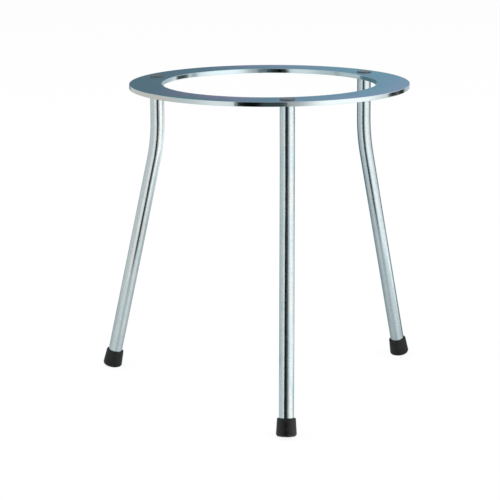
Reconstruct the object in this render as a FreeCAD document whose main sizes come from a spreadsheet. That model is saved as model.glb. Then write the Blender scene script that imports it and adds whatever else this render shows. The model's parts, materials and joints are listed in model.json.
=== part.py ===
"""Laboratory tripod stand: a flat ring on three bent legs with rubber feet.

The stand's origin lies on the bench, straight below the middle of the ring. The front leg stands
on the -Y side and +Z is up. Lengths are millimetres and angles are degrees.
"""

import FreeCAD, Part
import os
import Sketcher
from FreeCAD import Vector
from math import radians

# Driving sizes: name, value, what it measures
SIZES = [
    ("stand_height", 175.0, "bench to the ring's top face"),
    ("ring_outer_dia", 156.4, "ring plate, outside"),
    ("ring_band_width", 18.2, "width of the flat band"),
    ("ring_thickness", 2.5, "plate thickness"),
    ("ring_edge_radius", 0.2, "rounding of the plate's four blanked edges"),
    ("leg_inset", 8.7, "ring's rim to the middle of each leg"),
    ("leg_dia", 8.0, "round bar"),
    ("leg_straight_run", 22.8, "upright length between the ring and the bend"),
    ("leg_bend_radius", 100.0, "bend, at the middle of the bar"),
    ("leg_splay", 13.2, "slope of the lower leg away from upright"),
    ("leg_end_chamfer", 0.6, "broken edge of the bar inside the foot"),
    ("front_leg_turn", -9.3, "front leg as riveted: its bend turned from straight outwards"),
    ("right_leg_turn", 4.0, "right leg as riveted: its bend turned from straight outwards"),
    ("left_leg_turn", 0.0, "left leg as riveted: its bend turned from straight outwards"),
    ("tenon_shoulder", 1.0, "step from the bar down to the tenon"),
    ("tenon_clearance", 0.05, "gap between the tenon and its hole"),
    ("head_lap", 1.0, "reach of the peened head past the tenon"),
    ("head_height", 0.7, "height of the peened head above the ring"),
    ("head_edge_radius", 0.3, "rounding round the top of the peened head"),
    ("foot_height", 10.2, "rubber foot, along the leg"),
    ("foot_sole", 3.0, "rubber below the end of the bar"),
    ("foot_lip_wall", 1.0, "rubber round the bar at the upper lip"),
    ("foot_base_wall", 1.6, "rubber round the bar at the widest place"),
    ("foot_crown", 0.8, "rise of the crowned sole"),
    ("foot_base_radius", 1.2, "rounding between the side and the sole"),
    ("foot_lip_radius", 0.38, "rounding of the upper lip"),
    ("foot_clearance", 0.05, "gap between the bar and the foot's socket"),
    ("foot_flat", 0.25, "depth of the sole pressed flat on the bench"),
]

# Sizes that follow from the driving ones: name, formula
WORKED = [
    ("leg_circle_radius", "Sizes.ring_outer_dia / 2 - Sizes.leg_inset"),
    ("shoulder_height", "Sizes.stand_height - Sizes.ring_thickness"),
    ("bend_height", "shoulder_height - Sizes.leg_straight_run"),
    ("bend_drop", "Sizes.leg_bend_radius * sin(Sizes.leg_splay)"),
    ("bend_reach", "Sizes.leg_bend_radius * (1 - cos(Sizes.leg_splay))"),
    ("tenon_dia", "Sizes.leg_dia - 2 * Sizes.tenon_shoulder"),
    ("socket_radius", "Sizes.leg_dia / 2 + Sizes.foot_clearance"),
    ("lip_radius", "Sizes.leg_dia / 2 + Sizes.foot_lip_wall"),
    ("base_radius", "Sizes.leg_dia / 2 + Sizes.foot_base_wall"),
    ("crown_radius", "(base_radius ^ 2 + Sizes.foot_crown ^ 2) / (2 * Sizes.foot_crown)"),
    ("bench_cut_reach", "2 * base_radius"),
    ("leg_end_height", "crown_radius - Sizes.foot_flat"
                       " - (crown_radius - Sizes.foot_sole) * cos(Sizes.leg_splay)"),
    ("leg_end_reach", "bend_reach"
                      " + (bend_height - bend_drop - leg_end_height) * tan(Sizes.leg_splay)"),
]

# The legs, evenly spaced round the ring from the front one on
LEG_SIDES = ("front", "right", "left")

# The most that a rounding takes of the room it has on its wall
ROUNDING_SHARE = 0.8

# A sketch's own origin, and the places on a line, arc or circle
ORIGIN = (-1, 1)
START, END, CENTRE = range(1, 4)

doc = FreeCAD.newDocument("TripodStand")


def make_sheet(name, rows):
    """Make a spreadsheet with one named value to a row, and its note beside it."""
    sheet = doc.addObject("Spreadsheet::Sheet", name)
    for number, (alias, content, note) in enumerate(rows, start=1):
        sheet.set(f"A{number}", alias)
        sheet.set(f"B{number}", content)
        sheet.set(f"C{number}", note)
        sheet.setAlias(f"B{number}", alias)
    doc.recompute()
    return sheet


make_sheet("Sizes", [(alias, str(size), note) for alias, size, note in SIZES])
worked = make_sheet("Worked", [(alias, "=" + formula, "") for alias, formula in WORKED])


def value(expression):
    """Work out an expression on the two sheets."""
    return float(worked.evalExpression(expression))


def new_body(label):
    """Start a sub-part."""
    body = doc.addObject("PartDesign::Body", label)
    body.Label = label
    return body


def new_sketch(body, name, role, lift=None):
    """Start a sketch on one of the body's own origin planes, lifted by an expression."""
    sketch = body.newObject("Sketcher::SketchObject", name)
    plane = next(item for item in body.Origin.OriginFeatures if item.Role == role)
    sketch.AttachmentSupport = [(plane, "")]
    sketch.MapMode = "FlatFace"
    if lift:
        sketch.setExpression("AttachmentOffset.Base.z", lift)
    return sketch


def tie(sketch, kind, *places):
    """Add a constraint that has no size."""
    sketch.addConstraint(Sketcher.Constraint(kind, *places))


def tie_to_axis(sketch, *place):
    """Put a point on the sketch's own upright axis, which has the number -2."""
    tie(sketch, "PointOnObject", *place, -2)


def dimension(sketch, name, kind, *places, size):
    """Add a driving dimension and bind it to an expression."""
    start = value(size)
    if kind == "Angle":
        start = radians(start)
    number = sketch.addConstraint(Sketcher.Constraint(kind, *places, start))
    sketch.renameConstraint(number, name)
    sketch.setExpression(f"Constraints.{name}", size)


def add_line(sketch, start, end):
    """Draw a line between two points (x, y) of the sketch."""
    return sketch.addGeometry(Part.LineSegment(Vector(*start), Vector(*end)))


def add_arc(sketch, centre, radius, first, last):
    """Draw an arc counterclockwise between two directions in degrees."""
    circle = Part.Circle(Vector(*centre), Vector(0, 0, 1), radius)
    return sketch.addGeometry(Part.ArcOfCircle(circle, radians(first), radians(last)))


def add_circle(sketch, name, diameter):
    """Draw a circle round the sketch's origin."""
    circle = sketch.addGeometry(Part.Circle(Vector(), Vector(0, 0, 1), value(diameter) / 2))
    tie(sketch, "Coincident", circle, CENTRE, *ORIGIN)
    dimension(sketch, name, "Diameter", circle, size=diameter)


def new_feature(body, kind, name, **links):
    """Add a feature to the body's tree."""
    feature = body.newObject(f"PartDesign::{kind}", name)
    for link, target in links.items():
        setattr(feature, link, target)
    return feature


def add_pad(body, name, sketch, length):
    """Raise a sketch upwards."""
    feature = new_feature(body, "Pad", name, Profile=sketch)
    feature.setExpression("Length", length)
    doc.recompute()
    return feature


def add_revolution(body, name, sketch):
    """Turn a half profile about the sketch's upright axis."""
    feature = new_feature(body, "Revolution", name, Profile=sketch)
    feature.ReferenceAxis = (sketch, ["V_Axis"])
    feature.Angle = 360
    doc.recompute()
    return feature


def is_round(edge):
    """Tell whether an edge is part of a circle, and not a point such as a dome's top."""
    return not edge.Degenerated and isinstance(edge.Curve, Part.Circle)


def round_edges(feature):
    """List a feature's circular edges as (name, edge)."""
    edges = enumerate(feature.Shape.Edges, start=1)
    return [(f"Edge{number}", edge) for number, edge in edges if is_round(edge)]


def edges_where(feature, test):
    """Name the circular edges that pass a test on their circle."""
    names = [name for name, edge in round_edges(feature) if test(edge.Curve)]
    if not names:
        raise RuntimeError(f"{feature.Name} has no such edge")
    return names


def near(first, second):
    """Compare two lengths."""
    return abs(first - second) < 1e-4


def add_fillet(body, name, base, edges, radius):
    """Round some edges."""
    feature = new_feature(body, "Fillet", name, Base=(base, edges))
    feature.setExpression("Radius", radius)
    doc.recompute()
    return feature


def limited(radius, room):
    """Keep a rounding within the room that its wall leaves."""
    return f"min({radius}; {ROUNDING_SHARE} * ({room}))"


def check_cut(before, after):
    """Stop if a cutting feature took nothing away."""
    if not after.Shape.Volume < before.Shape.Volume - 1e-6:
        raise RuntimeError(f"{after.Name} cuts nothing")


def make_ring():
    """Flat ring, blanked from plate, with one tenon hole for each leg."""
    body = new_body("ring_plate")
    outline = new_sketch(body, "ring_outline", "XY_Plane", "Worked.shoulder_height")
    add_circle(outline, "outside", "Sizes.ring_outer_dia")
    add_circle(outline, "opening", "Sizes.ring_outer_dia - 2 * Sizes.ring_band_width")
    blank = add_pad(body, "ring_blank", outline, "Sizes.ring_thickness")

    edges = edges_where(blank, lambda circle: True)
    rounding = limited("Sizes.ring_edge_radius", "Sizes.ring_thickness / 2")
    rounded = add_fillet(body, "ring_edges", blank, edges, rounding)

    place = new_sketch(body, "tenon_hole_place", "XY_Plane", "Sizes.stand_height")
    hole_dia = "Worked.tenon_dia + 2 * Sizes.tenon_clearance"
    centre = Vector(0, -value("Worked.leg_circle_radius"))
    hole = place.addGeometry(Part.Circle(centre, Vector(0, 0, 1), value(hole_dia) / 2))
    tie_to_axis(place, hole, CENTRE)
    dimension(place, "leg_circle", "Distance", *ORIGIN, hole, CENTRE, size="Worked.leg_circle_radius")
    dimension(place, "hole", "Diameter", hole, size=hole_dia)
    first = new_feature(body, "Pocket", "tenon_hole", Profile=place, Type="ThroughAll")
    doc.recompute()
    check_cut(rounded, first)

    holes = new_feature(body, "PolarPattern", "tenon_holes", Originals=[first])
    axis = next(item for item in body.Origin.OriginFeatures if item.Role == "Z_Axis")
    holes.Axis = (axis, [""])
    holes.Angle = 360
    holes.Occurrences = len(LEG_SIDES)
    body.Tip = holes
    doc.recompute()
    check_cut(first, holes)


def draw_leg_path(sketch):
    """Middle line of a leg: upright, one bend outwards (+X), then straight to its lower end."""
    top = value("Worked.shoulder_height")
    bend = value("Worked.bend_height")
    radius = value("Sizes.leg_bend_radius")
    splay = value("Sizes.leg_splay")
    bend_end = (value("Worked.bend_reach"), bend - value("Worked.bend_drop"))
    leg_end = (value("Worked.leg_end_reach"), value("Worked.leg_end_height"))

    upright = add_line(sketch, (0, top), (0, bend))
    arc = add_arc(sketch, (radius, bend), radius, 180, 180 + splay)
    lower = add_line(sketch, leg_end, bend_end)
    tie_to_axis(sketch, upright, START)
    tie(sketch, "Vertical", upright)
    tie(sketch, "Tangent", upright, END, arc, START)
    tie(sketch, "Tangent", lower, END, arc, END)
    dimension(sketch, "top", "DistanceY", *ORIGIN, upright, START, size="Worked.shoulder_height")
    dimension(sketch, "run", "DistanceY", upright, END, upright, START, size="Sizes.leg_straight_run")
    dimension(sketch, "bend", "Radius", arc, size="Sizes.leg_bend_radius")
    dimension(sketch, "slope", "Angle", lower, size="90 + Sizes.leg_splay")
    dimension(sketch, "end", "DistanceY", *ORIGIN, lower, START, size="Worked.leg_end_height")


def turned_base(side):
    """Where a leg stands on the leg circle, and how far its bend is turned about +Z."""
    angle = LEG_SIDES.index(side) * 360 / len(LEG_SIDES) - 90
    across = f"Worked.leg_circle_radius * cos({angle})"
    along = f"Worked.leg_circle_radius * sin({angle})"
    return across, along, f"({angle} + Sizes.{side}_leg_turn)"


def make_leg(side):
    """Bent bar with a tenon on top, which passes through the ring and is peened into a head."""
    name = f"leg_{side}"
    body = new_body(name)
    path = new_sketch(body, f"{name}_path", "XZ_Plane")
    draw_leg_path(path)
    section = new_sketch(body, f"{name}_section", "XY_Plane", "Worked.shoulder_height")
    add_circle(section, "bar_dia", "Sizes.leg_dia")
    bar = new_feature(body, "AdditivePipe", f"{name}_bar", Profile=section, Spine=path)
    doc.recompute()

    lowest = min(edge.Curve.Center.z for _, edge in round_edges(bar))
    end_edges = edges_where(bar, lambda circle: near(circle.Center.z, lowest))
    chamfer = new_feature(body, "Chamfer", f"{name}_end", Base=(bar, end_edges))
    chamfer.setExpression("Size", "Sizes.leg_end_chamfer")
    doc.recompute()

    tenon = new_sketch(body, f"{name}_tenon_outline", "XY_Plane", "Worked.shoulder_height")
    add_circle(tenon, "tenon", "Worked.tenon_dia")
    add_pad(body, f"{name}_tenon", tenon, "Sizes.ring_thickness")

    head = new_sketch(body, f"{name}_head_outline", "XY_Plane", "Sizes.stand_height")
    add_circle(head, "head", "Worked.tenon_dia + 2 * Sizes.head_lap")
    peened = add_pad(body, f"{name}_head", head, "Sizes.head_height")
    top = value("Sizes.stand_height + Sizes.head_height")
    head_edge = edges_where(peened, lambda circle: near(circle.Center.z, top))
    rounding = limited("Sizes.head_edge_radius", "Sizes.head_height")
    add_fillet(body, f"{name}_head_edge", peened, head_edge, rounding)

    across, along, turn = turned_base(side)
    rotation = f"rotation(vector(0; 0; 1); {turn})"
    body.setExpression("Placement", f"placement(vector({across}; {along}; 0); {rotation})")


def draw_foot_profile(sketch):
    """Half section of a rubber foot about the leg's middle line, with the bar's end at the origin."""
    sole = value("Sizes.foot_sole")
    crown = value("Worked.crown_radius")
    apex = (0, -sole)
    base = (value("Worked.base_radius"), value("Sizes.foot_crown") - sole)
    lip = (value("Worked.lip_radius"), value("Sizes.foot_height") - sole)
    mouth = (value("Worked.socket_radius"), lip[1])
    floor = (mouth[0], 0)

    dome_end = value("asin(Worked.base_radius / Worked.crown_radius)") - 90
    dome = add_arc(sketch, (0, crown - sole), crown, -90, dome_end)
    side = add_line(sketch, base, lip)
    rim = add_line(sketch, lip, mouth)
    wall = add_line(sketch, mouth, floor)
    seat = add_line(sketch, floor, (0, 0))
    middle = add_line(sketch, (0, 0), apex)
    chain = [dome, side, rim, wall, seat, middle]
    for line, following in zip(chain, chain[1:] + chain[:1]):
        tie(sketch, "Coincident", line, END, following, START)
    tie_to_axis(sketch, dome, CENTRE)
    tie(sketch, "Coincident", middle, START, *ORIGIN)
    tie(sketch, "Vertical", middle)
    tie(sketch, "Vertical", wall)
    tie(sketch, "Horizontal", seat)
    tie(sketch, "Horizontal", rim)
    dimension(sketch, "sole", "DistanceY", middle, END, *ORIGIN, size="Sizes.foot_sole")
    dimension(sketch, "crown", "DistanceY", dome, START, dome, END, size="Sizes.foot_crown")
    dimension(sketch, "base", "DistanceX", *ORIGIN, side, START, size="Worked.base_radius")
    dimension(sketch, "lip", "DistanceX", *ORIGIN, side, END, size="Worked.lip_radius")
    dimension(sketch, "height", "DistanceY", middle, END, side, END, size="Sizes.foot_height")
    dimension(sketch, "socket", "DistanceX", *ORIGIN, wall, END, size="Worked.socket_radius")


def draw_bench_cut(sketch):
    """Rectangle below the bench line, which slopes across the foot by the leg's splay."""
    reach = value("Worked.bench_cut_reach")
    depth = value("Worked.leg_end_height")
    slope = value("tan(Sizes.leg_splay)")
    rise = depth / value("cos(Sizes.leg_splay)")
    inner = (-reach, reach * slope - rise)
    outer = (reach, -reach * slope - rise)

    bench = add_line(sketch, outer, inner)
    inner_side = add_line(sketch, inner, (inner[0] - reach * slope, inner[1] - reach))
    under = add_line(sketch, (inner[0] - reach * slope, inner[1] - reach),
                     (outer[0] - reach * slope, outer[1] - reach))
    outer_side = add_line(sketch, (outer[0] - reach * slope, outer[1] - reach), outer)
    chain = [bench, inner_side, under, outer_side]
    for line, following in zip(chain, chain[1:] + chain[:1]):
        tie(sketch, "Coincident", line, END, following, START)
    tie(sketch, "Perpendicular", bench, inner_side)
    tie(sketch, "Perpendicular", bench, outer_side)
    tie(sketch, "Parallel", bench, under)
    dimension(sketch, "slope", "Angle", bench, size="180 - Sizes.leg_splay")
    dimension(sketch, "bench", "Distance", *ORIGIN, bench, size="Worked.leg_end_height")
    dimension(sketch, "inner", "DistanceX", bench, END, *ORIGIN, size="Worked.bench_cut_reach")
    dimension(sketch, "outer", "DistanceX", *ORIGIN, bench, START, size="Worked.bench_cut_reach")
    dimension(sketch, "depth", "Distance", inner_side, size="Worked.bench_cut_reach")


def make_foot(side):
    """Rubber cap on the end of a leg, with a crowned sole that is flat where it stands."""
    name = f"foot_{side}"
    body = new_body(name)
    profile = new_sketch(body, f"{name}_profile", "XZ_Plane")
    draw_foot_profile(profile)
    cap = add_revolution(body, f"{name}_cap", profile)

    lip_height = value("Sizes.foot_height - Sizes.foot_sole")
    lip_edges = edges_where(cap, lambda circle: near(circle.Center.z, lip_height))
    lip_room = "(Sizes.foot_lip_wall - Sizes.foot_clearance) / 2"
    lip_rounding = limited("Sizes.foot_lip_radius", lip_room)
    lipped = add_fillet(body, f"{name}_lip", cap, lip_edges, lip_rounding)
    base_edges = edges_where(lipped, lambda circle: near(circle.Radius, value("Worked.base_radius")))
    rounded = add_fillet(body, f"{name}_base", lipped, base_edges, "Sizes.foot_base_radius")

    bench = new_sketch(body, f"{name}_bench_line", "XZ_Plane")
    draw_bench_cut(bench)
    flat = new_feature(body, "Pocket", f"{name}_flat", Profile=bench, Midplane=True)
    flat.setExpression("Length", "2 * Worked.bench_cut_reach")
    doc.recompute()
    check_cut(rounded, flat)

    across, along, turn = turned_base(side)
    foot_across = f"{across} + Worked.leg_end_reach * cos({turn})"
    foot_along = f"{along} + Worked.leg_end_reach * sin({turn})"
    base = f"vector({foot_across}; {foot_along}; Worked.leg_end_height)"
    rotation = f"rotation({turn}; -Sizes.leg_splay; 0)"
    body.setExpression("Placement", f"placement({base}; {rotation})")


def check_model():
    """Stop if any object failed or any sub-part isn't one sound solid."""
    for item in doc.Objects:
        if {"Invalid", "Error"} & set(item.State):
            raise RuntimeError(f"{item.Name} failed: {item.State}")
    for body in bodies():
        shape = body.Shape
        if shape.isNull() or not shape.isValid() or len(shape.Solids) != 1:
            raise RuntimeError(f"{body.Label} isn't one sound solid")


def bodies():
    """List the sub-parts."""
    return [item for item in doc.Objects if item.TypeId == "PartDesign::Body"]


make_ring()
for leg_side in LEG_SIDES:
    make_leg(leg_side)
    make_foot(leg_side)
doc.recompute()
check_model()

os.makedirs("parts", exist_ok=True)
for sub_part in bodies():
    sub_part.Shape.exportStep(f"parts/{sub_part.Label}.step")
    print(f"{sub_part.Label}: {sub_part.Shape.Volume:.1f} mm3")
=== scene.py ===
"""Looks of a laboratory tripod stand: a plated ring on three bent legs with rubber feet.

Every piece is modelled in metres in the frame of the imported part: the origin lies on the bench below
the middle of the ring, the front leg stands on the -Y side and +Z is up.
"""

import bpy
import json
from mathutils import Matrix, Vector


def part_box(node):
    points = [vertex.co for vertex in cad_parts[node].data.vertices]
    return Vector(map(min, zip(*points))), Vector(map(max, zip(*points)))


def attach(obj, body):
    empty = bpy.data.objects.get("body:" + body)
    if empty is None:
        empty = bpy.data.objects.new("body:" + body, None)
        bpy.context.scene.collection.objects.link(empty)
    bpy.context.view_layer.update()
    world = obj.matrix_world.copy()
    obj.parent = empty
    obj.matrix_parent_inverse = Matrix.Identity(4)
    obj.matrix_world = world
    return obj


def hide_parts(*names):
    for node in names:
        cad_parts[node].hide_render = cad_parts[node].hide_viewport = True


bl_info = {
    "name": "Tripod Stand",
    "version": (1, 0, 0),
    "blender": (4, 5, 0),
    "location": "View3D > Sidebar > Tripod Stand",
    "description": "Models a laboratory tripod stand around its frame and gives it its finishes",
    "category": "Object",
}

import json
from math import asin, atan2, cos, hypot, pi, radians, sin

import bmesh
import bpy
from bpy.props import FloatProperty, FloatVectorProperty, IntProperty, PointerProperty
from mathutils import Matrix, Vector

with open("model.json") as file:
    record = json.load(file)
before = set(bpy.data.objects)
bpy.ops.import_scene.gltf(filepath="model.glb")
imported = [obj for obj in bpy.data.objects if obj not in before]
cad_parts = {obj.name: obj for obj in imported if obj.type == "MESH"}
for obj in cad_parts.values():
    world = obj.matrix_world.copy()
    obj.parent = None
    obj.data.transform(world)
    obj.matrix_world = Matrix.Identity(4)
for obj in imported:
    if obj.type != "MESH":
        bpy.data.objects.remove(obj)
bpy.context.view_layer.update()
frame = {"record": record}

SIDES = ("front", "right", "left")
MOUNTS = {mount["name"]: mount for mount in frame["record"]["mounts"]}
RING_LOW, RING_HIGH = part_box("ring_plate")

# The image is square, so one width gives the lens for a focal length in pixels
IMAGE_WIDTH = 500
SENSOR_WIDTH = 36.0

# Points this close together are joined, and places this close count as the same
MERGE_DISTANCE = 1e-7
SAME_PLACE = 1e-6

# Upright part of a face's normal: more than the first and it lies flat, less than the second and it
# stands upright, less than the third and it belongs to the ring's walls
FLAT_FACE, UPRIGHT_FACE, WALL_FACE = 0.999, 0.001, 0.6

SMOOTH_ANGLE = radians(35)
STRAIGHT_PLACE = "straight_place"
WHITE = (1.0, 1.0, 1.0)

# A Mix node's inputs and output for colours, by their places
MIX_INPUTS = (0, 6, 7)
MIX_RESULT = 2

# Violet parts of the film: side of the plate, azimuth from the front in degrees, the cosines of the turn
# away from it where the violet starts and where it is full, and its greatest share
VIOLET_PARTS = (
    ("inner", -40, 0.84, 0.97, 1.0),
    ("outer", 45, 0.40, 0.95, 0.45),
    ("outer", 172, 0.84, 1.0, 0.8),
)

# Cards round the stand: the two ends of one edge, and the sweep from it to the opposite edge
CARDS = {
    "table_top": ((-0.6, -0.095, 0), (1.2, -0.095, 0), (0, 3.0, 0)),
    "left_card": ((-0.55, -0.95, -0.8), (-0.35, 1.1, -0.8), (0, 0, 1.4)),
    "right_card_front": ((0.028, -0.33, -0.8), (0.225, -0.2165, -0.8), (0, 0, 1.4)),
    "right_card_back": ((0.225, -0.2165, -0.8), (0.5, 0.066, -0.8), (0, 0, 1.4)),
    "right_card_end": ((0.502, 0.069, -0.8), (0.282, 0.186, -0.8), (0, 0, 1.4)),
    "right_gap": ((0.5, 0.066, 0.085), (0.28, 0.183, 0.112), (0, 0, 0.075)),
    "right_low": ((0.11, 0.073, 0), (0.30, 0.085, 0), (0, 0, 0.14)),
    "front_gap": ((-0.135, -0.223, -0.8), (0.028, -0.33, -0.8), (0, 0, 1.8)),
    "left_gap": ((-0.105, 0.137, 0), (0.02, 0.9, 0), (0, 0, 0.172)),
    "back_card": ((-1.0, 1.5, 0.12), (1.2, 1.5, 0.12), (0, 0, 1.08)),
}

# Where a card's brightness and tint change: an axis, and the places on it of the first and second level
CARD_FADES = {
    "left_card": ("Y", -0.02, -0.5),
    "right_card_front": ("X", 0.028, 0.19),
    "right_card_back": ("X", 0.225, 0.5),
    "front_gap": ("X", -0.08, -0.048),
    "back_card": ("X", 0.0, 0.4),
}
NO_FADE = ("X", 0.0, 1.0)

# Tints of the cards that aren't plain white, at the first and second level
CARD_TINTS = {
    "left_card": ((0.955, 1.0, 1.0), WHITE),
    "front_gap": (WHITE, (0.68, 0.95, 1.0)),
    "left_gap": 2 * ((0.48, 0.87, 1.0),),
}

# Table top in metal: places across a slant where it turns to the right side's brightness, and places
# towards the back where the front's added light ends and starts and where it turns dimmer
TABLE_SLANT = 0.4
TABLE_RIGHT = (0.08, 0.4)
TABLE_FRONT = (0.07, 0.0)
TABLE_FAR = (0.55, 0.8)
TABLE_TINT = (0.90, 1.0, 1.02)
TABLE_ROUGHNESS = 0.5


def length(name, description, default):
    """A length in metres that a user may set."""
    return FloatProperty(name=name, description=description, default=default, min=0.0, precision=5,
                         subtype="DISTANCE", unit="LENGTH")


def angle(name, description, default):
    """An angle that a user may set, given in degrees."""
    return FloatProperty(name=name, description=description, default=radians(default),
                         subtype="ANGLE", unit="ROTATION")


def share(name, description, default):
    """A share from 0 to 1 that a user may set."""
    return FloatProperty(name=name, description=description, default=default, min=0.0, max=1.0,
                         subtype="FACTOR")


def level(name, description, default):
    """A brightness that a user may set, where 1 is white."""
    return FloatProperty(name=name, description=description, default=default, min=0.0)


def levels(name, card, default):
    """The brightness in metal at two ends of a card that a user may set, where 1 is white."""
    return FloatVectorProperty(name=name, description=f"Brightness in metal of the {card}",
                               default=default, size=2, min=0.0)


def colour(name, description, default):
    """A colour that a user may set."""
    return FloatVectorProperty(name=name, description=description, default=default, size=3,
                               min=0.0, max=1.0, subtype="COLOR")


class RingSizes(bpy.types.PropertyGroup):
    """Sizes of the ring plate."""

    outer_radius: length("Outer radius", "Middle of the ring to its rim", RING_HIGH.x)
    opening_radius: length("Opening radius", "Middle of the ring to its inner wall",
                           MOUNTS["ring_opening"]["dims"]["r_mm"] / 1000)
    top: length("Top", "Bench to the ring's top face", RING_HIGH.z)
    thickness: length("Thickness", "Thickness of the plate", RING_HIGH.z - RING_LOW.z)
    edge_radius: length("Edge radius", "Rounding of the blanked edges", 0.0002)
    tenon_clearance: length("Tenon clearance", "Gap round each tenon", 0.00005)
    steps: IntProperty(name="Steps", description="Faces round the ring", default=240, min=24)


class LegSizes(bpy.types.PropertyGroup):
    """Sizes of the bent legs."""

    bar_radius: length("Bar radius", "Half the round bar's thickness", 0.004)
    straight_run: length("Straight run", "Upright length between ring and bend", 0.0228)
    bend_radius: length("Bend radius", "Bend at the middle of the bar", 0.1)
    splay: angle("Splay", "Slope of the lower leg away from upright", 13.2)
    end_chamfer: length("End chamfer", "Broken edge of the bar inside its foot", 0.0006)
    tenon_radius: length("Tenon radius", "Half the tenon's thickness", 0.003)
    head_radius: length("Head radius", "Half the peened head's width", 0.004)
    head_height: length("Head height", "Height of the peened head above the ring", 0.0007)
    head_edge: length("Head edge", "Rounding round the peened head", 0.0003)
    peen_depth: length("Peen depth", "Depth of the hammer marks in the heads", 0.00004)
    peen_size: length("Peen size", "Width of one hammer mark", 0.0021)
    steps: IntProperty(name="Steps", description="Faces round the bar", default=64, min=12)
    bend_steps: IntProperty(name="Bend steps", description="Rings of faces in the bend", default=24,
                            min=4)


class FootSizes(bpy.types.PropertyGroup):
    """Sizes of the rubber feet."""

    height: length("Height", "Foot along the leg", 0.0102)
    sole: length("Sole", "Rubber below the end of the bar", 0.003)
    lip_wall: length("Lip wall", "Rubber round the bar at the upper lip", 0.001)
    base_wall: length("Base wall", "Rubber round the bar at the widest place", 0.0016)
    crown: length("Crown", "Rise of the crowned sole", 0.0008)
    base_rounding: length("Base rounding", "Rounding between side and sole", 0.0012)
    lip_rounding: length("Lip rounding", "Rounding of the upper lip", 0.00038)
    clearance: length("Clearance", "Gap between the bar and the socket", 0.00005)
    flat: length("Flat", "Depth of the sole pressed flat on the bench", 0.00025)
    steps: IntProperty(name="Steps", description="Faces round the foot", default=96, min=12)


class FinishValues(bpy.types.PropertyGroup):
    """Colours, roughness and patterns of the plating and the rubber."""

    film_blue: colour("Film blue", "Main colour of the blue film on the plate", (0.42, 0.56, 0.64))
    film_teal: colour("Film teal", "Greener patches of the film", (0.40, 0.60, 0.62))
    film_violet: colour("Film violet", "Violet parts of the film", (0.78, 0.57, 0.78))
    bright_zinc: colour("Bright zinc", "Clear plating on the bars and on the ring's walls",
                        (0.56, 0.622, 0.637))
    # Blue grey zinc: a real cast in the bars' clouds, and painted shade on the ring's inner wall
    blue_zinc: colour("Blue zinc", "Plating with a blue grey cast", (0.50, 0.597, 0.627))
    pale_zinc: colour("Pale zinc", "Thin plating on the bars", (0.59, 0.622, 0.612))
    # Painted warm light on the left of the rim, given as a tan cast in the plating
    warm_zinc: colour("Warm zinc", "Plating with a beige cast at the left of the rim",
                      (0.63, 0.60, 0.555))
    # Painted light on the left leg and painted shade on the right leg, given as plating colours
    left_zinc: colour("Left zinc", "Paler plating on the left leg", (0.68, 0.70, 0.69))
    right_zinc: colour("Right zinc", "Darker plating on the right leg", (0.47, 0.54, 0.57))
    hammered: colour("Hammered", "Bare grey of the peened heads", (0.27, 0.30, 0.305))
    # Colour round the heads: partly staining, partly painted shade at their seats, sides and edges
    stain: colour("Stain", "Dark stain round the heads and in crevices", (0.06, 0.06, 0.06))
    film_sheen: colour("Film sheen", "Tint of the film at a low angle", (0.37, 0.66, 0.86))
    wall_sheen: colour("Wall sheen", "Tint of the ring's walls at a low angle", (0.85, 0.90, 0.92))
    bar_sheen: colour("Bar sheen", "Tint of the legs at a low angle", (0.62, 0.74, 0.80))
    plate_roughness: share("Plate roughness", "Roughness of the plate's faces", 0.30)
    wall_roughness: share("Wall roughness", "Roughness of the ring's walls", 0.12)
    bar_roughness: share("Bar roughness", "Roughness of the legs", 0.18)
    rubber: colour("Rubber", "Black rubber", (0.004, 0.004, 0.004))
    rubber_dust: colour("Rubber dust", "Dust and bloom on the rubber", (0.017, 0.017, 0.016))
    rubber_roughness: share("Rubber roughness", "Roughness of the clean rubber", 0.44)
    rubber_gloss: share("Rubber gloss", "Strength of the rubber's reflections", 0.3)
    film_cloud: length("Film cloud", "Width of the film's greener patches", 0.03)
    violet_cloud: length("Violet cloud", "Width of the patches in the film's violet", 0.02)
    stain_cloud: length("Stain cloud", "Width of the steps in the stain's edge", 0.003)
    stain_ragged: length("Stain ragged", "Reach of the steps in the stain's edge", 0.0008)
    plate_grain: length("Plate grain", "Width of the grain in the ring's plating", 0.0007)
    plate_grain_height: length("Plate grain height", "Height of the grain on the ring", 0.000006)
    shear_width: length("Shear width", "Width of the tool lines on the ring's walls", 0.0006)
    shear_height: length("Shear height", "Height of the tool lines on the ring's walls", 0.00002)
    bar_cloud: length("Bar cloud", "Width of the patches in the legs' plating", 0.0025)
    bar_grain: length("Bar grain", "Width of the grain in the legs' plating", 0.0012)
    bar_grain_height: length("Bar grain height", "Height of the grain on the legs", 0.00001)
    draw_width: length("Draw width", "Width of the drawing lines along the legs", 0.0005)
    draw_height: length("Draw height", "Height of the drawing lines along the legs", 0.000008)
    wave_width: length("Wave width", "Width of the uneven places on the legs", 0.0035)
    wave_height: length("Wave height", "Height of the uneven places on the legs", 0.00003)
    rubber_cloud: length("Rubber cloud", "Width of the patches of dust", 0.0022)
    rubber_grain: length("Rubber grain", "Width of the rubber's grain", 0.0004)
    rubber_grain_height: length("Rubber grain height", "Height of the rubber's grain", 0.00003)


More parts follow.
